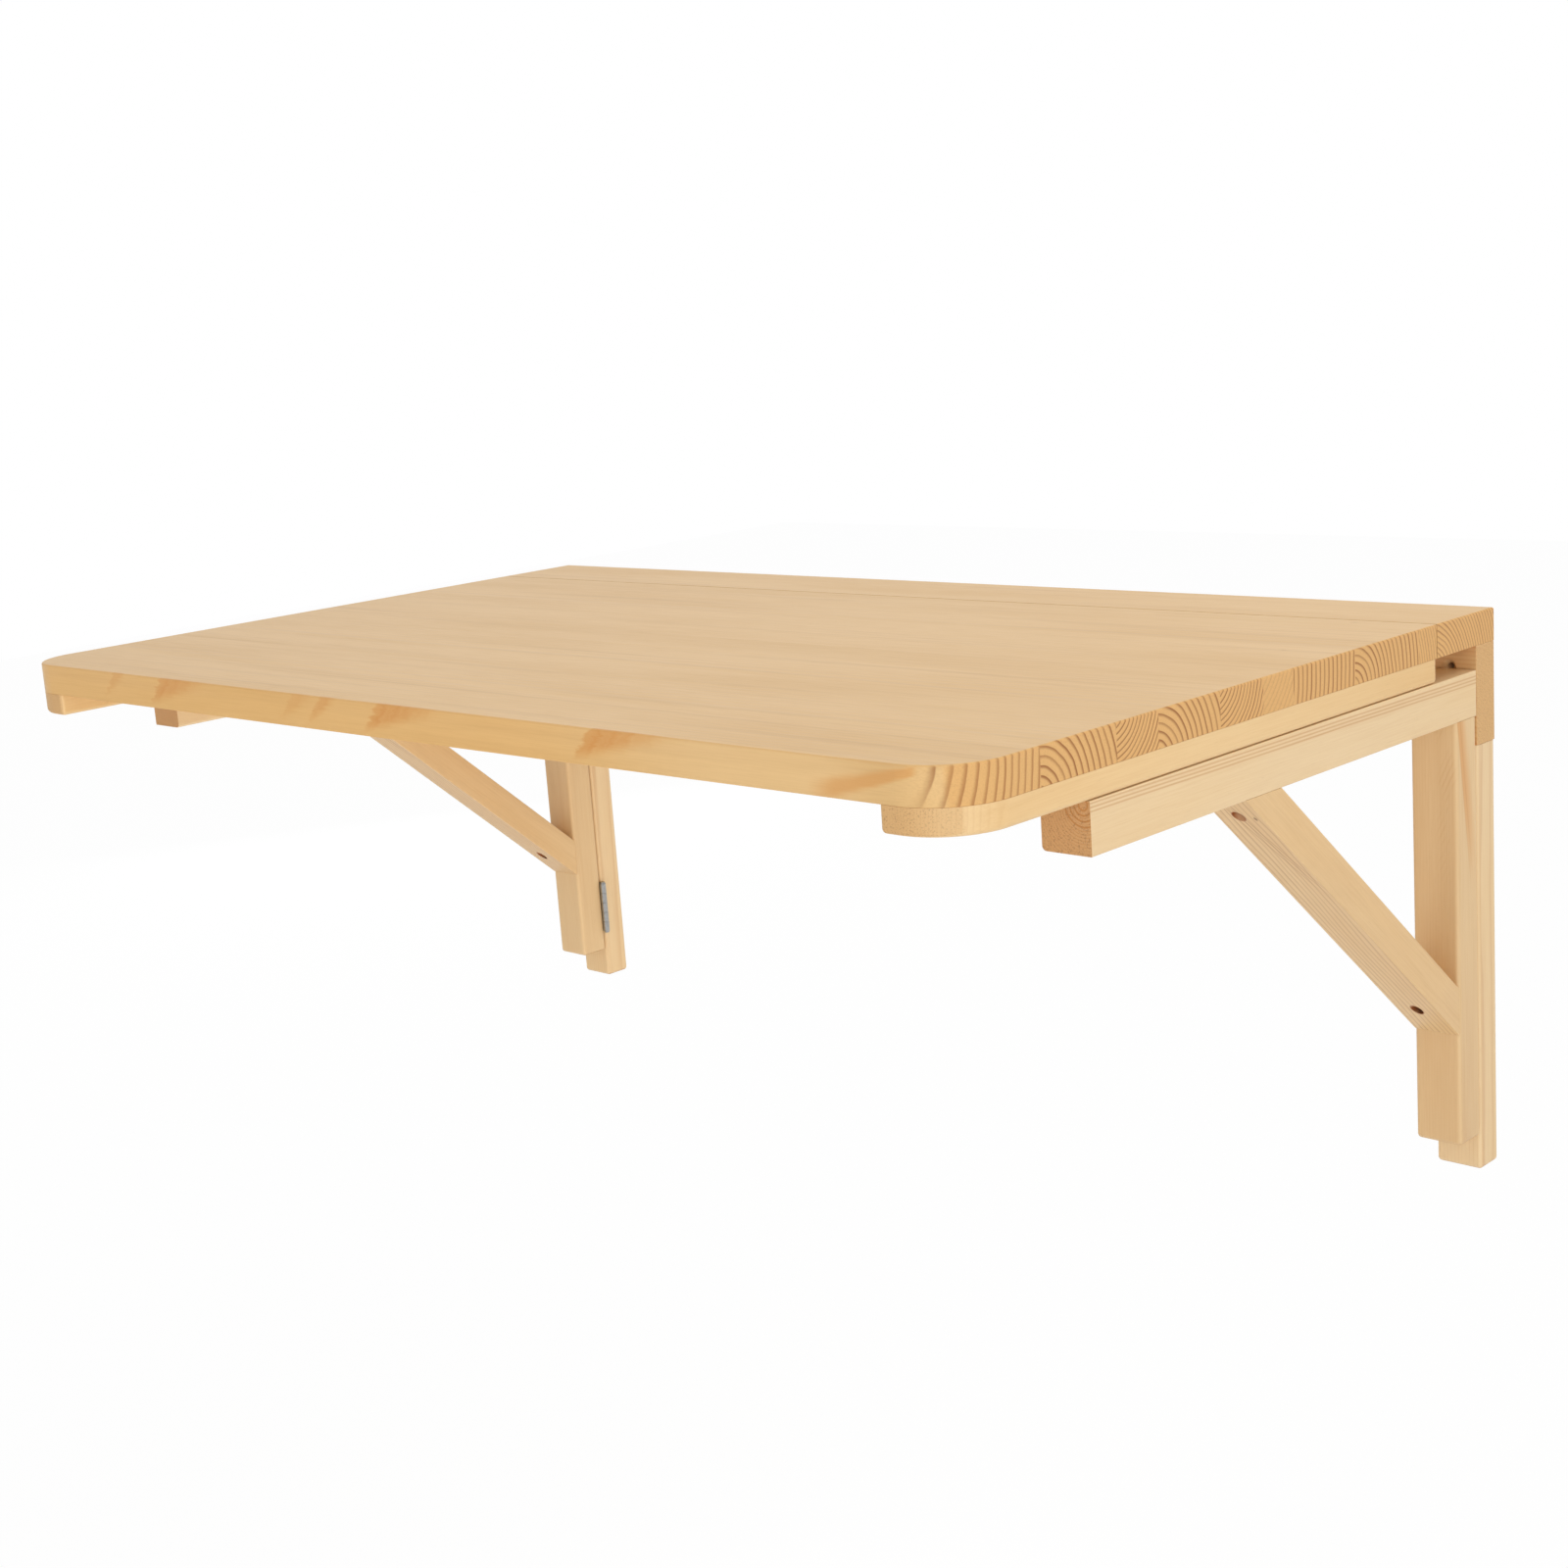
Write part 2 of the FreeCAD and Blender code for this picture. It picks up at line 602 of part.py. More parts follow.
def brace_outline(sketch):
    """The brace from the side: along the arm and down the post from their inner corner."""
    run = number("brace_run")
    drop = number("brace_drop")
    run_inside = run - number("brace_top")
    drop_inside = drop - number("brace_foot")
    corners = [(run, 0), (0, drop), (0, drop_inside), (run_inside, 0)]
    for start, end in zip(corners, corners[1:] + corners[:1]):
        sketch.addGeometry(Part.LineSegment(FreeCAD.Vector(*start), FreeCAD.Vector(*end)))
    for line in range(4):
        sketch.addConstraint(Sketcher.Constraint("Coincident", line, 2, (line + 1) % 4, 1))
    for line, axis in ((0, -1), (1, -2), (2, -2), (3, -1)):
        sketch.addConstraint(Sketcher.Constraint("PointOnObject", line, 1, axis))
    name_size(sketch, "DistanceX", (-1, 1, 0, 1), "run", "brace_run")
    name_size(sketch, "DistanceY", (-1, 1, 1, 1), "drop", "brace_drop")
    name_size(sketch, "DistanceY", (-1, 1, 2, 1), "drop_inside", "brace_drop - brace_foot")
    name_size(sketch, "DistanceX", (-1, 1, 3, 1), "run_inside", "brace_run - brace_top")


def slanting(edge):
    return edge.BoundBox.XLength > TINY and edge.BoundBox.YLength > TINY


def runs_along(edge):
    """True for the long edges of an arm."""
    return edge.BoundBox.YLength > number("arm_length / 2")


def squared(edge, inner_x):
    """True for the edges on the top of an arm or on its outer face."""
    box = edge.BoundBox
    outer_face = abs(box.XMin - inner_x) > number("stock_width / 2")
    return box.ZMin > number("arm_height / 2") or outer_face


def bracket(side, sign, hinge_screws):
    start = "stock_inside" if sign > 0 else "-half_width"
    middle = f"{sign} * stock_middle"
    upward = point(middle, "-(bracket_face + brace_run - brace_screw_front)", "arm_z - brace_screw_web")
    backward = point(middle, "-(bracket_face + brace_screw_web)", "arm_z - brace_drop + brace_screw_rise")
    brace_screws = [facing(upward, Z_WAY), facing(backward, Y_WAY)]
    dowels = dowel_pair(sign, "-(bracket_back + bracket_post_thick / 2)", "arm_z")

    label = f"bracket_post_{side}"
    blank = post(label + "_blank", "bracket_post_thick", "bracket_post_length",
                 (start, "-bracket_face", "bracket_foot_z"))
    plate_back = "fold_axis_y - plate_gap / 2 - plate_thick"
    depth = f"-bracket_back - ({plate_back})"
    holes = [
        recess(label + "_upper_recess", sign, "rail_z - fold_hinge_inset", plate_back, depth),
        recess(label + "_lower_recess", sign, "bracket_foot_z + fold_hinge_inset", plate_back, depth),
        copies(label + "_hinge_holes", plate_screw_hole, hinge_screws["bracket", side]),
        copies(label + "_dowel_holes", dowel_hole, dowels),
        copies(label + "_screw_hole", brace_screw_hole, brace_screws[1:]),
    ]
    keep(cut(label, blank, holes), label)

    label = f"bracket_arm_{side}"
    blank = board(label + "_blank", "stock_width", "arm_length", "arm_height",
                  (start, "-(bracket_back + arm_length)", "arm_z"))
    inner_x = number("0" if sign > 0 else "stock_width")
    soften(blank, "soft_round", lambda edge: runs_along(edge) and not squared(edge, inner_x))
    soften(blank, "arris_round", lambda edge: runs_along(edge) and squared(edge, inner_x))
    holes = [
        copies(label + "_dowel_holes", dowel_hole, dowels),
        copies(label + "_screw_hole", brace_screw_hole, brace_screws[:1]),
    ]
    keep(cut(label, blank, holes), label)

    label = f"bracket_brace_{side}"
    blank = padded(label + "_blank", brace_outline, "stock_width", (start, "-bracket_face", "arm_z"))
    blank.Placement.Rotation = FreeCAD.Rotation(-Y_WAY, -Z_WAY, X_WAY, "ZXY")
    soften(blank, "arris_round", slanting)
    keep(cut(label, blank, [copies(label + "_holes", brace_screw_hole, brace_screws)]), label)

    label = f"bracket_screws_{side}"
    keep(copies(label, brace_screw, brace_screws), label)
    label = f"bracket_dowels_{side}"
    keep(copies(label, dowel, dowels), label)
    label = f"fold_hinge_screws_bracket_{side}"
    keep(copies(label, plate_screw, hinge_screws["bracket", side]), label)


def check():
    """Stops unless every object is sound."""
    doc.recompute()
    for item in doc.Objects:
        if "Invalid" in item.State or "Error" in item.State:
            raise RuntimeError(f"{item.Name} failed: {item.State}")
    for item in exported:
        if item.Shape.isNull() or not item.Shape.isValid() or not item.Shape.Solids:
            raise RuntimeError(f"{item.Label} has no sound solid")


def write():
    os.makedirs("parts", exist_ok=True)
    for item in exported:
        item.Shape.exportStep(f"parts/{item.Label}.step")
    print(f"{len(exported)} pieces written")


fold_screws = fold_hinges()
leaf_screws = leaf_hinges()
wall_frame(fold_screws, leaf_screws["strip"])
drop_leaf(leaf_screws["leaf"])
for side, sign in SIDES.items():
    bracket(side, sign, fold_screws)
check()
write()
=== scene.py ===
"""The drop leaf table in lacquered pine, lit softly on a white ground."""
import bpy
import math
from mathutils import Matrix, Vector


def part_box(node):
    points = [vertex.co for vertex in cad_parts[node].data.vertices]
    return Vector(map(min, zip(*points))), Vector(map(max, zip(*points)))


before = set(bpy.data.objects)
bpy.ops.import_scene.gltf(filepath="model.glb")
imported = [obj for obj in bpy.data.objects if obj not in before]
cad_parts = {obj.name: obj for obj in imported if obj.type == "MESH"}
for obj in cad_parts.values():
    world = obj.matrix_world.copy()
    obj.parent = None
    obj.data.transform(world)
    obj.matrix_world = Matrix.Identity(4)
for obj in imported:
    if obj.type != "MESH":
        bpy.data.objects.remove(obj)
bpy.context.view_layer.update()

X_WAY = Vector((1, 0, 0))
Y_WAY = Vector((0, 1, 0))
Z_WAY = Vector((0, 0, 1))
# Places come in metres. Times MM they are in millimetres.
MM = 1000
WHITE = (1, 1, 1, 1)


class Wire:
    """A value that varies over a surface. A sum on it adds Math nodes."""

    def __init__(self, nodes, socket):
        self.nodes = nodes
        self.socket = socket

    def math(self, operation, *values):
        return self.nodes.node("ShaderNodeMath", {"operation": operation}, dict(enumerate(values)))

    def __add__(self, other):
        return self.math("ADD", self, other)

    def __radd__(self, other):
        return self.math("ADD", other, self)

    def __sub__(self, other):
        return self.math("SUBTRACT", self, other)

    def __rsub__(self, other):
        return self.math("SUBTRACT", other, self)

    def __mul__(self, other):
        return self.math("MULTIPLY", self, other)

    def __rmul__(self, other):
        return self.math("MULTIPLY", other, self)

    def __truediv__(self, other):
        return self.math("DIVIDE", self, other)

    def __pow__(self, other):
        return self.math("POWER", self, other)

    def __mod__(self, other):
        return self.math("FLOORED_MODULO", self, other)

    def __abs__(self):
        return self.math("ABSOLUTE", self)

    def __floor__(self):
        return self.math("FLOOR", self)

    def most(self, other):
        return self.math("MAXIMUM", self, other)

    def rise(self, low, high):
        """0 below low, 1 above high, and smooth between."""
        settings = {"interpolation_type": "SMOOTHSTEP"}
        sockets = {"Value": self, "From Min": low, "From Max": high}
        return self.nodes.node("ShaderNodeMapRange", settings, sockets)


class Nodes:
    """The nodes of a finish or of the room's light."""

    def __init__(self, tree):
        self.tree = tree

    def node(self, kind, settings, sockets, output=0):
        """Adds a node, sets it up, fills its sockets and gives one of its outputs."""
        made = self.tree.nodes.new(kind)
        for name, value in settings.items():
            setattr(made, name, value)
        self.fill(made, sockets)
        return Wire(self, made.outputs[output])

    def fill(self, made, sockets):
        for name, value in sockets.items():
            if isinstance(value, Wire):
                self.tree.links.new(value.socket, made.inputs[name])
            else:
                made.inputs[name].default_value = value

    def in_view(self):
        """1 for what is looked at, straight, in a mirror or through glass, and 0 for light on a surface."""
        straight = self.node("ShaderNodeLightPath", {}, {}, "Is Camera Ray")
        mirrored = self.node("ShaderNodeLightPath", {}, {}, "Is Glossy Ray")
        through = self.node("ShaderNodeLightPath", {}, {}, "Is Transmission Ray")
        return straight.most(mirrored).most(through)


class Finish(Nodes):
    """A material in the making."""

    def __init__(self, name):
        self.material = bpy.data.materials.new(name)
        self.material.use_nodes = True
        super().__init__(self.material.node_tree)
        self.shader = self.tree.nodes["Principled BSDF"]
        self.spot = self.node("ShaderNodeTexCoord", {}, {}, "Object")

    def dot(self, vector, way):
        return self.node("ShaderNodeVectorMath", {"operation": "DOT_PRODUCT"}, {0: vector, 1: way}, "Value")

    def grown(self, vector, scale):
        return self.node("ShaderNodeVectorMath", {"operation": "SCALE"}, {0: vector, "Scale": scale})

    def vector(self, x, y, z):
        return self.node("ShaderNodeCombineXYZ", {}, {"X": x, "Y": y, "Z": z})

    def cloud(self, spot, detail=2.0):
        """Soft noise about 0 with spots of about one unit."""
        return self.node("ShaderNodeTexNoise", {}, {"Vector": spot, "Scale": 1.0, "Detail": detail}) - 0.5

    def blend(self, amount, start, end):
        """A colour from start to end."""
        return self.node("ShaderNodeMix", {"data_type": "RGBA"}, {0: amount, 6: start, 7: end}, 2)

    def bump(self, height, strength, depth):
        return self.node("ShaderNodeBump", {}, {"Height": height, "Strength": strength, "Distance": depth})

    def coat(self, sockets):
        self.fill(self.shader, sockets)


def paint(red, green, blue):
    """A colour given as it looks on screen, from 0 to 255, as light."""
    light = []
    for part in (red, green, blue):
        share = part / 255
        light.append(share / 12.92 if share <= 0.04045 else ((share + 0.055) / 1.055) ** 2.4)
    return (*light, 1.0)


# Pine

TOP_PINE = {
    "pale": paint(228, 190, 134),
    "warm": paint(220, 179, 118),
    "end": paint(222, 175, 113),
    "late": paint(138, 74, 26),
    "fleck": paint(150, 98, 54),
    "arris_tone": paint(214, 160, 92),
}
HONEY_PINE = {
    "pale": paint(232, 198, 146),
    "warm": paint(226, 186, 128),
    "end": paint(215, 173, 118),
    "late": paint(190, 128, 66),
    "fleck": paint(150, 104, 64),
    "arris_tone": paint(238, 210, 164),
}
PALE_PINE = {
    "pale": paint(231, 203, 160),
    "warm": paint(231, 199, 150),
    "end": paint(204, 158, 106),
    "late": paint(186, 124, 64),
    "fleck": paint(150, 108, 70),
    "arris_tone": paint(240, 216, 176),
}
BRACE_PINE = {
    "pale": paint(228, 195, 146),
    "warm": paint(222, 184, 132),
    "end": paint(212, 168, 112),
    "late": paint(164, 112, 66),
    "fleck": paint(140, 98, 60),
    "arris_tone": paint(236, 207, 162),
}
POST_PINE = {
    "pale": paint(227, 196, 149),
    "warm": paint(216, 181, 134),
    "end": paint(208, 166, 112),
    "late": paint(186, 124, 62),
    "fleck": paint(150, 104, 64),
    "arris_tone": paint(236, 207, 162),
}
GOLD = paint(229, 175, 95)
SAP = paint(242, 206, 152)
FLAME = paint(210, 144, 70)
# Red brown for the rail's front: streaks in the wood, and painted warm shade in the slots near its ends.
RED_STREAK_AND_SLOT_SHADE = paint(200, 126, 76)
# Bare wood with painted shade, for the walls of the screw holes.
BARE_WOOD_AND_BORE_SHADE = paint(158, 92, 48)


class PineBoard(Finish):
    """Solid pine for one board: growth rings round a pith that runs along it.

    u, v and w are places along the board, across it and up from it, in mm from its middle.
    end_on, edge_on and flat_on say how far the surface faces each of these ways, from 0 to 1.
    """

    def __init__(self, node, along, across, seed, tones):
        super().__init__(f"pine_{node}")
        low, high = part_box(node)
        middle = (low + high) / 2
        normal = self.node("ShaderNodeTexCoord", {}, {}, "Normal")
        places = []
        facings = []
        for way in (along, across, along.cross(across)):
            places.append((self.dot(self.spot, way) - middle.dot(way)) * MM)
            tilt = self.dot(normal, way)
            facings.append(tilt * tilt)
        self.u, self.v, self.w = places
        self.end_on, self.edge_on, self.flat_on = facings
        self.seed = seed
        self.tones = tones

    def grain(self, length, width, detail=2.0):
        """Noise drawn out along the board, with spots of this length and width in mm."""
        place = self.vector(self.u / length + self.seed, self.v / width, self.w / width)
        return self.cloud(place, detail)

    def grow(self, pith, pitch, wander, edge, flat, end):
        """Rings of the given pitch. edge, flat and end are their strength on each kind of face."""
        slow = self.grain(420, 90, 1.0)
        sway = self.grain(160, 26)
        side = self.v - pith[0] + slow * (wander * 2)
        rise = self.w - pith[1] + slow * wander
        rings = ((side * side + rise * rise) ** 0.5 + sway * wander) / pitch
        year = self.node("ShaderNodeTexWhiteNoise", {"noise_dimensions": "1D"}, {"W": math.floor(rings)})
        share = rings % 1.0
        self.late = share.rise(0.48, 0.9) * (1 - share.rise(0.9, 1.0)) * (0.6 + year * 0.4)
        self.end_grain = self.end_on.rise(0.34, 0.46)
        self.fibre = self.grain(34, 0.8, 3.0)
        strength = self.edge_on * edge + self.flat_on * flat + self.end_on.rise(0, 0.4) * end
        cloudy = self.grain(300, 45).rise(-0.25, 0.3)
        streaks = self.grain(380, 7).rise(0.02, 0.3) * (1 - self.end_grain)
        flecks = self.grain(12, 0.5, 1.0).rise(0.17, 0.27)
        tones = self.tones
        self.colour = self.blend(cloudy, tones["pale"], tones["warm"])
        self.stain(self.end_grain, tones["end"])
        self.stain(streaks * 0.13, tones["late"])
        self.stain(self.late * strength, tones["late"])
        self.stain(self.fibre.rise(-0.2, 0.4) * 0.14, tones["late"])
        self.stain(flecks * 0.14, tones["fleck"])

    def stain(self, amount, colour):
        self.colour = self.blend(amount, self.colour, colour)

    def lines(self, place, levels, amount):
        """Thin lines of late wood where place comes to one of these levels, in mm."""
        place = place + self.grain(260, 40) * 2
        for level in levels:
            self.stain((1 - abs(place - level).rise(0.1, 0.9)) * amount, self.tones["late"])

    def away(self, v, w):
        """How far a place is from the line along the board at v and w."""
        return ((self.v - v) ** 2 + (self.w - w) ** 2) ** 0.5

    def mark(self, u, v, length, width, amount):
        """A short dark stroke along the grain of the flat faces."""
        away = abs(self.u - u) / length + abs(self.v - v) / width
        self.stain((1 - away.rise(0.3, 1.2)) * self.flat_on * amount, self.tones["fleck"])

    def bored(self, screws):
        """Dark wood in the holes that sink a bracket's two screws, one upright and one level: bare bored
        wood, with painted shade of the recess.
        """
        low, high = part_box(screws)
        head = (high.x - low.x) / 2
        upright = ((X_WAY, low.x + head), (Y_WAY, low.y + head))
        level = ((X_WAY, low.x + head), (Z_WAY, low.z + head))
        radius = head * MM
        for hole in (upright, level):
            square = 0
            for way, middle in hole:
                away = (self.dot(self.spot, way) - middle) * MM
                square = away * away + square
            # Painted shade: the walls of each hole are darkened, partly as bare bored wood and partly as
            # the shade inside the recess.
            self.stain(1 - (square ** 0.5).rise(radius * 1.15, radius * 1.35), BARE_WOOD_AND_BORE_SHADE)

    def pores(self, amount):
        """The dark speckle of end grain."""
        speckle = self.grain(1.2, 0.9, 1.0).rise(0.02, 0.22)
        self.stain(speckle * self.end_grain * amount, self.tones["fleck"])

    def seal(self):
        """Arrises in their own tone, the feel of the grain under the lacquer, and the material itself."""
        arris = self.flat_on * (1 - self.flat_on) * 4
        # Painted highlight with wear: the rounded edges blend to the arris tone, paler than the faces on
        # all pine but the top's, where it is warmer.
        self.stain(arris * 0.3, self.tones["arris_tone"])
        relief = self.late * 0.5 + self.fibre * 0.6
        roughness = 0.44 + self.fibre * 0.16 + self.end_grain * 0.14 - self.late * 0.05 + arris * 0.06
        self.coat({
            "Base Color": self.colour,
            "Roughness": roughness,
            "Normal": self.bump(relief, 0.12, 0.0006),
            "Specular IOR Level": 0.35,
        })
        return self.material


def dress(node, material):
    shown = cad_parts[node]
    shown.data.materials.clear()
    shown.data.materials.append(material)


# Top

# Each stave has rings of its own: the pith's place across and up, the pitch and the wander, in mm,
# and the strength on the end.
STAVES = {
    "leaf_stave_1": ((-150, 24), 6.1, 2.0, 0.75),
    "leaf_stave_2": ((-38, -20), 5.4, 3.0, 0.9),
    "leaf_stave_3": ((-30, 26), 3.4, 3.0, 0.95),
    "leaf_stave_4": ((-36, -20), 5.1, 3.0, 0.9),
    "leaf_stave_5": ((-34, 26), 3.5, 3.0, 0.95),
    "leaf_stave_6": ((-70, 60), 4.0, 3.0, 0.3),
    "leaf_stave_7": ((-150, 6), 5.2, 2.0, 0.95),
    "leaf_stave_8": ((-44, -14), 4.7, 3.0, 0.9),
    "leaf_stave_9": ((-80, -20), 3.2, 3.0, 0.6),
    "rear_strip": ((-60, -35), 3.4, 3.0, 0.8),
}
# Small dark strokes: the place along and across, the length and the width, in mm, and the strength.
TOP_MARKS = {
    "leaf_stave_7": (457, 20, 5, 1.2, 0.4),
    "leaf_stave_9": (442, 3, 6, 1.2, 0.4),
}
# Flames of the front edge: where each starts along the stave and its length, in mm, and its strength.
FLAMES = (
    (-367, 20, 0.6),
    (-299, 70, 0.9),
    (-125, 30, 0.4),
    (-92, 24, 0.75),
    (-25, 80, 0.95),
    (194, 80, 0.95),
)
# Where the front edge begins across that stave, and where the streak by its right corner starts along it.
FRONT_EDGE = -33.5
CORNER_STREAK = 396


def paint_flames(stave):
    """The flat sawn front edge: each flame has a ragged border on one side and thins out to the other."""
    front = (FRONT_EDGE - stave.v).rise(0, 2)
    golden = 1 - stave.u.rise(120, 340)
    stave.stain(front * golden * 0.45, GOLD)
    before_corner = 1 - stave.u.rise(400, 450)
    stave.stain(front * stave.u.rise(180, 340) * before_corner * 0.35, SAP)
    ragged = stave.cloud(stave.vector(stave.u / 14, stave.w / 3, 0), 4.0) * 20
    for start, length, strength in FLAMES:
        past = stave.u - start + ragged - stave.w * 0.9
        foot = stave.w + 7 - past * (18 / length)
        flame = past.rise(-0.5, 4) * foot.rise(-6, 6) * (1 - past.rise(length * 0.2, length * 1.2))
        figure = 0.8 + stave.cloud(stave.vector(past / 7, stave.w / 30, 0), 1.0)
        stave.stain(flame * figure * front * strength, FLAME)
    past = stave.u - CORNER_STREAK
    line = abs(stave.w + 9 - past * 0.24 + ragged * 0.15)
    streak = (1 - line.rise(1.5, 10 - past * 0.085)) * past.rise(-10, 16) * (1 - past.rise(70, 92))
    stave.stain(streak * front * 0.6, FLAME)


def dress_top():
    for count, (node, (pith, pitch, wander, end)) in enumerate(STAVES.items(), start=1):
        stave = PineBoard(node, X_WAY, Y_WAY, count * 7.31, TOP_PINE)
        stave.grow(pith, pitch, wander, edge=0.11, flat=0.08, end=end)
        stave.pores(0.12)
        if node == "leaf_stave_1":
            paint_flames(stave)
        if node in TOP_MARKS:
            stave.mark(*TOP_MARKS[node])
        dress(node, stave.seal())


# Wall frame and brackets

# Given as the marks of the top are.
RIGHT_BRACE_MARKS = ((168, -6.4, 2.6, 1.6, 1.0), (151, 12.1, 3.6, 1.6, 1.0))


def dress_batten(node, seed):
    batten = PineBoard(node, Y_WAY, Z_WAY, seed, HONEY_PINE)
    batten.grow((10, -300), 2.0, 2.0, edge=0.1, flat=0.1, end=0.2)
    batten.pores(0.5)
    dress(node, batten.seal())


def dress_arm(node, seed):
    """An arm has fine lines along its sides, and rings round a pith near its upper edge on the end."""
    arm = PineBoard(node, Y_WAY, Z_WAY, seed, PALE_PINE)
    arm.grow((11, 13), 1.9, 1.2, edge=0.06, flat=0.04, end=0.55)
    arm.lines(arm.v + arm.u * 0.0057, (13.8, 11.4, 9.0), arm.flat_on * 0.45)
    arm.lines(arm.away(14, 13), (3, 6.2, 9.6, 13), arm.end_grain * 0.9)
    arm.pores(0.7)
    dress(node, arm.seal())


def paint_streak(post):
    """A slanting streak at the top of a bracket post's sides, and saw marks on its front."""
    past = post.w + 10.4 - (139 - post.u) * 0.137
    upper = post.u.rise(20, 110)
    post.stain(past.rise(-0.4, 1.2) * (1 - past.rise(3, 15)) * upper * post.edge_on * 0.6, FLAME)
    post.lines(past, (0.4, 4), upper * post.edge_on * 0.3)
    saw = (post.v - post.u * 0.47 + post.grain(60, 20) * 3) / 3.8 % 1.0
    sawn = post.v.rise(-2, 8) * post.u.rise(30, 70) * post.grain(25, 12).rise(-0.1, 0.15)
    post.stain((1 - saw.rise(0.1, 0.45)) * sawn * post.flat_on * 0.2, post.tones["late"])


def dress_bracket_post(node, seed):
    post = PineBoard(node, Z_WAY, X_WAY, seed, POST_PINE)
    post.grow((-60, 4), 2.2, 1.5, edge=0.08, flat=0.08, end=0.5)
    paint_streak(post)
    post.pores(0.6)
    dress(node, post.seal())


def dress_wall_post(node, seed):
    post = PineBoard(node, Z_WAY, X_WAY, seed, PALE_PINE)
    post.grow((-80, -20), 3.0, 2.0, edge=0.3, flat=0.12, end=0.5)
    post.pores(0.6)
    dress(node, post.seal())


def dress_brace(side, seed):
    """A brace has lines that run out to its edge under the arm. The right one has two small marks."""
    node = f"bracket_brace_{side}"
    low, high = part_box(node)
    slope = Vector((0, low.y - high.y, high.z - low.z)).normalized()
    brace = PineBoard(node, slope, X_WAY, seed, BRACE_PINE)
    brace.grow((-200, 4), 4.4, 9.0, edge=0.06, flat=0.55, end=0.5)
    upper = brace.u.rise(30, 90) * (1 - brace.u.rise(156, 170))
    brace.lines(brace.v + (brace.u - 150) * 0.145, (-3, 0.5, 3.2), brace.flat_on * upper * 0.5)
    brace.pores(0.6)
    if side == "right":
        for mark in RIGHT_BRACE_MARKS:
            brace.mark(*mark)
    brace.bored(f"bracket_screws_{side}")
    dress(node, brace.seal())


def dress_rail():
    """The rail's front has redder streaks in the wood, and near its ends painted warm shade for the slot
    above each arm.
    """
    rail = PineBoard("wall_rail", X_WAY, Y_WAY, 4.4, HONEY_PINE)
    rail.grow((-40, -60), 3.0, 3.0, edge=0.34, flat=0.2, end=0.2)
    front = rail.edge_on * (1 - rail.v.rise(-4, 4))
    # Painted shade: the red tone is much stronger near the ends, where the slot above each arm lies in
    # shade.
    red_streaks_and_slot_shade = rail.grain(420, 14).rise(-0.3, 0.2) * (0.22 + abs(rail.u).rise(430, 475) * 0.6)
    rail.stain(front * red_streaks_and_slot_shade, RED_STREAK_AND_SLOT_SHADE)
    rail.pores(0.5)
    dress("wall_rail", rail.seal())


def dress_frame():
    for count, side in enumerate(("left", "right"), start=1):
        dress_batten(f"leaf_batten_{side}", count * 3.7)
        dress_arm(f"bracket_arm_{side}", count * 5.3)
        dress_bracket_post(f"bracket_post_{side}", count * 2.9)
        dress_wall_post(f"wall_post_{side}", count * 6.1)
        dress_brace(side, count * 8.7)
    dress_rail()


def dress_fittings():
    steel = Finish("zinc_plate")
    blotch = steel.cloud(steel.grown(steel.spot, 400.0), 3.0)
    zinc = steel.blend(blotch.rise(-0.3, 0.3), paint(156, 156, 154), paint(182, 181, 178))
    steel.coat({"Base Color": zinc, "Metallic": 1.0, "Roughness": 0.36 + blotch * 0.2})
    beech = Finish("beech_dowel")
    grain = beech.cloud(beech.grown(beech.spot, 900.0), 3.0)
    tan = beech.blend(grain.rise(-0.3, 0.3), paint(205, 165, 120), paint(222, 186, 142))
    beech.coat({"Base Color": tan})
    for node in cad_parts:
        if "dowels" in node:
            dress(node, beech.material)
        elif "hinge" in node or "screws" in node:
            dress(node, steel.material)


# Camera, light and ground

# The camera fitted to the photo: its place in m, its turns, and a focal length in pixels of the frame.
EYE = (1.2955, -1.5386, 0.3006)
YAW = math.radians(44.56)
PITCH = math.radians(-12.0)
ROLL = math.radians(-4.16)
SENSOR = 36
FOCAL_PIXELS = 2398.2
FRAME_PIXELS = 1600
# Each lamp's place, target, size in m and power in W.
LAMPS = {
    "window": ((2.1, -1.4, 1.0), (0.1, -0.3, 0), 1.4, 8),
    "ceiling": ((0.9, 0.4, 2.2), (0.2, -0.2, 0), 2.0, 20),
    "low_window": ((3.4, -2.2, -0.25), (-0.2, -0.2, -0.15), 0.9, 27),
    "fill": ((-0.2, -2.7, -0.45), (-0.3, -0.15, -0.2), 1.4, 11),
    "under_fill": ((0.35, -0.45, -0.5), (-0.48, -0.4, -0.35), 0.5, 1.5),
    "back_fill": ((-2.6, 1.4, 0.1), (0, -0.2, -0.1), 1.4, 16),
}
AMBIENT = 0.6
FLOOR_LEVEL = -0.74
FLOOR_REACH = 6
FLOOR_TONE = (0.86, 0.86, 0.85, 1)
# The share of plain white in the floor as it is looked at.
GROUND_GLOW = 0.97


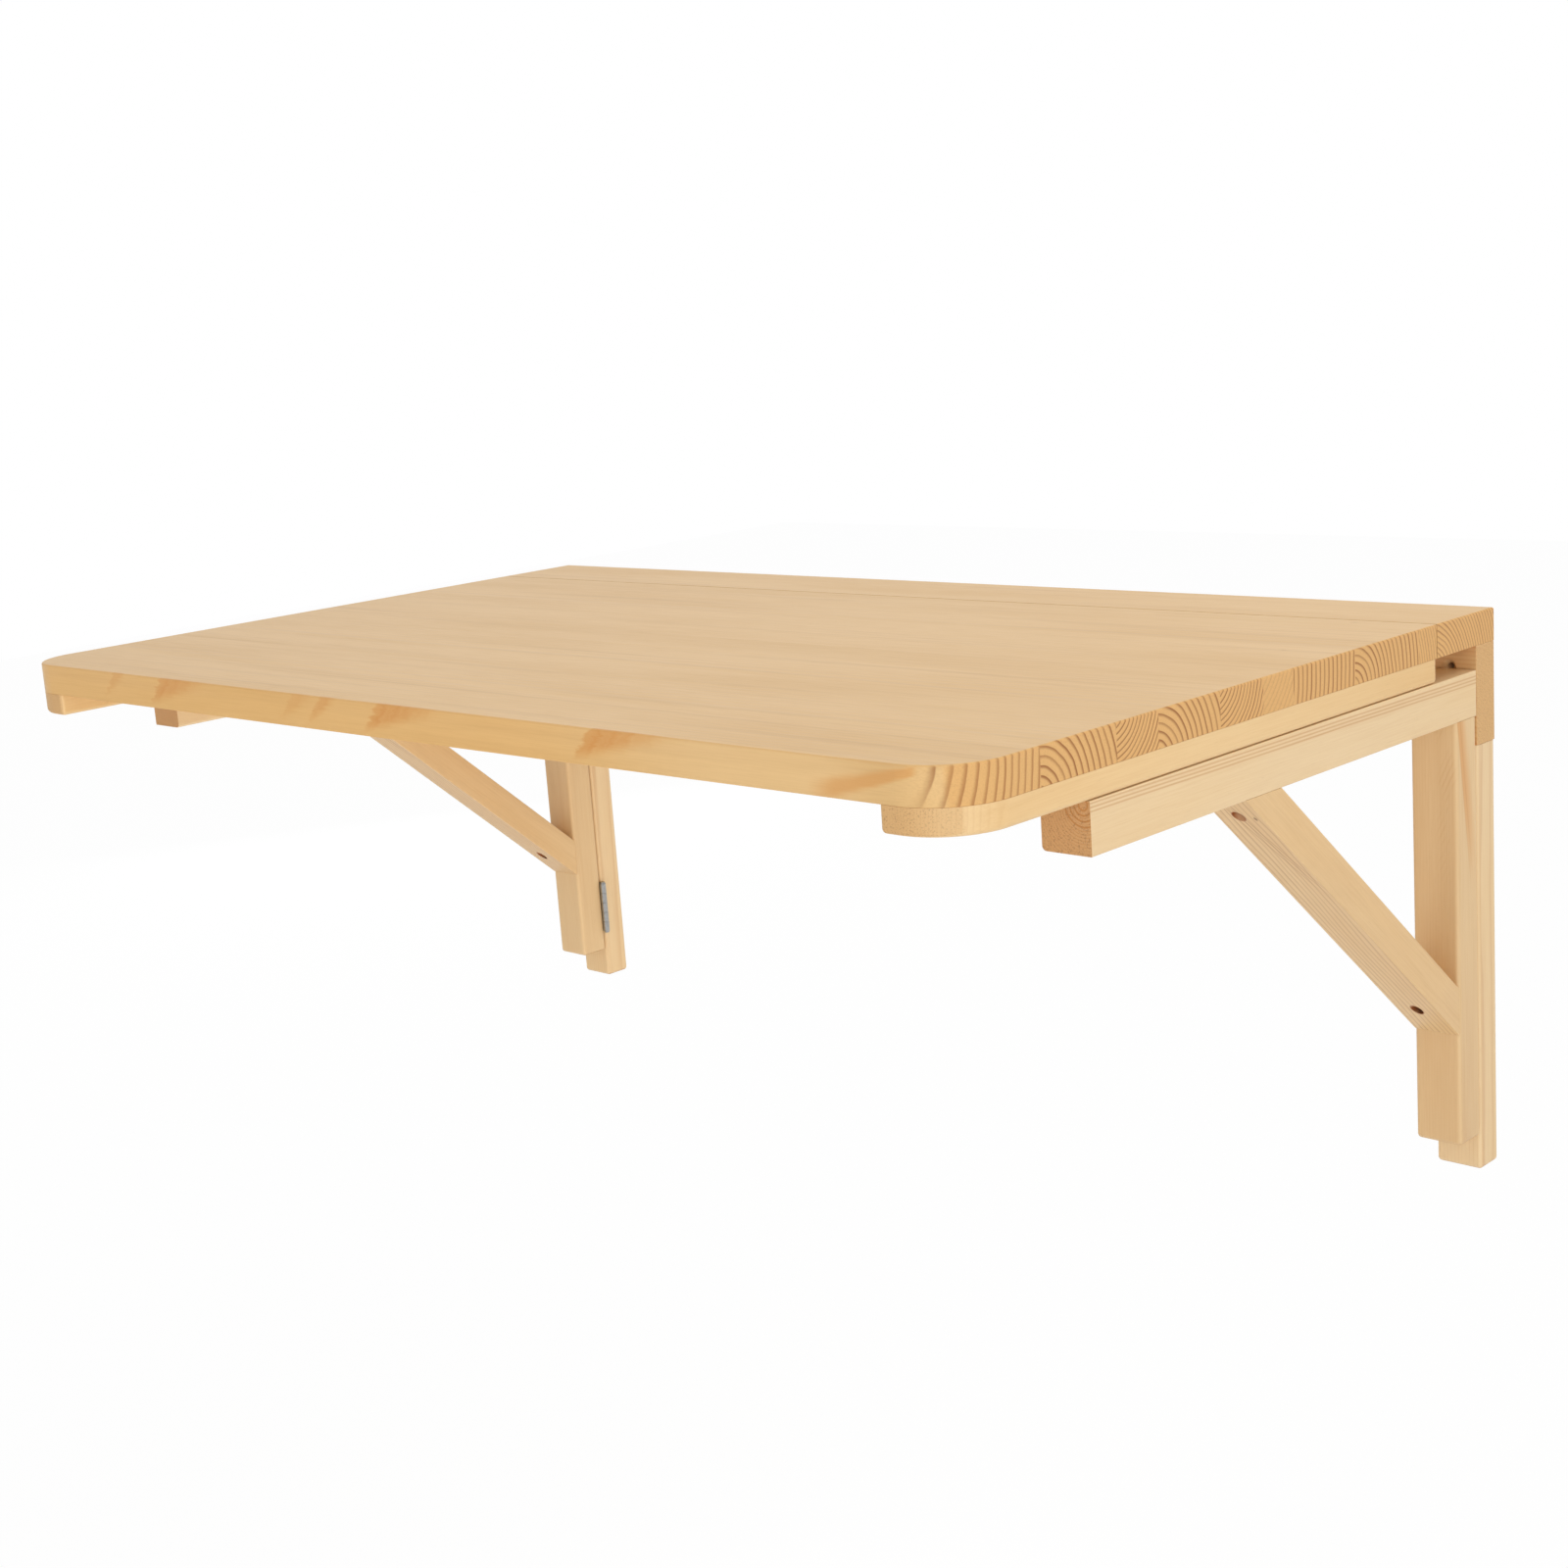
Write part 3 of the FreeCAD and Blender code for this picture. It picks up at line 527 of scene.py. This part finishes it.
def aim_camera():
    level = Vector((math.cos(YAW), math.sin(YAW), 0))
    ahead = Vector((-math.sin(YAW), math.cos(YAW), 0))
    view = ahead * math.cos(PITCH) + Z_WAY * math.sin(PITCH)
    over = Z_WAY * math.cos(PITCH) - ahead * math.sin(PITCH)
    right = level * math.cos(ROLL) + over * math.sin(ROLL)
    up = over * math.cos(ROLL) - level * math.sin(ROLL)
    camera = bpy.data.objects.new("camera", bpy.data.cameras.new("camera"))
    turn = Matrix((right, up, -view)).transposed().to_4x4()
    camera.matrix_world = Matrix.Translation(EYE) @ turn
    camera.data.sensor_width = SENSOR
    camera.data.lens = SENSOR * FOCAL_PIXELS / FRAME_PIXELS
    bpy.context.scene.collection.objects.link(camera)
    bpy.context.scene.camera = camera


def lamp(name, spot, target, size, power):
    light = bpy.data.lights.new(name, "AREA")
    light.size = size
    light.energy = power
    item = bpy.data.objects.new(name, light)
    item.location = spot
    item.rotation_euler = (Vector(target) - Vector(spot)).to_track_quat("-Z", "Y").to_euler()
    item.visible_camera = False
    item.visible_glossy = False
    bpy.context.scene.collection.objects.link(item)


def light_room():
    world = bpy.data.worlds.new("room")
    world.use_nodes = True
    bpy.context.scene.world = world
    room = Nodes(world.node_tree)
    room.fill(world.node_tree.nodes["Background"], {
        "Color": WHITE,
        "Strength": AMBIENT + (1 - AMBIENT) * room.in_view(),
    })
    for name, (spot, target, size, power) in LAMPS.items():
        lamp(name, spot, target, size, power)


def lay_floor():
    """A pale floor that looks white, with a trace of the table's shadow."""
    mesh = bpy.data.meshes.new("floor")
    reach = FLOOR_REACH
    corners = [(-reach, -reach, 0), (reach, -reach, 0), (reach, reach, 0), (-reach, reach, 0)]
    mesh.from_pydata(corners, [], [(0, 1, 2, 3)])
    floor = bpy.data.objects.new("floor", mesh)
    floor.location = (0, 0, FLOOR_LEVEL)
    bpy.context.scene.collection.objects.link(floor)
    ground = Finish("pale_floor")
    ground.coat({"Base Color": FLOOR_TONE, "Roughness": 0.9})
    white = ground.node("ShaderNodeEmission", {}, {"Color": WHITE, "Strength": 1.0})
    plain = Wire(ground, ground.shader.outputs[0])
    mixed = ground.node("ShaderNodeMixShader", {}, {0: ground.in_view() * GROUND_GLOW, 1: plain, 2: white})
    ground.fill(ground.tree.nodes["Material Output"], {"Surface": mixed})
    mesh.materials.append(ground.material)


dress_top()
dress_frame()
dress_fittings()
aim_camera()
light_room()
lay_floor()
bpy.context.scene.view_settings.view_transform = "Standard"
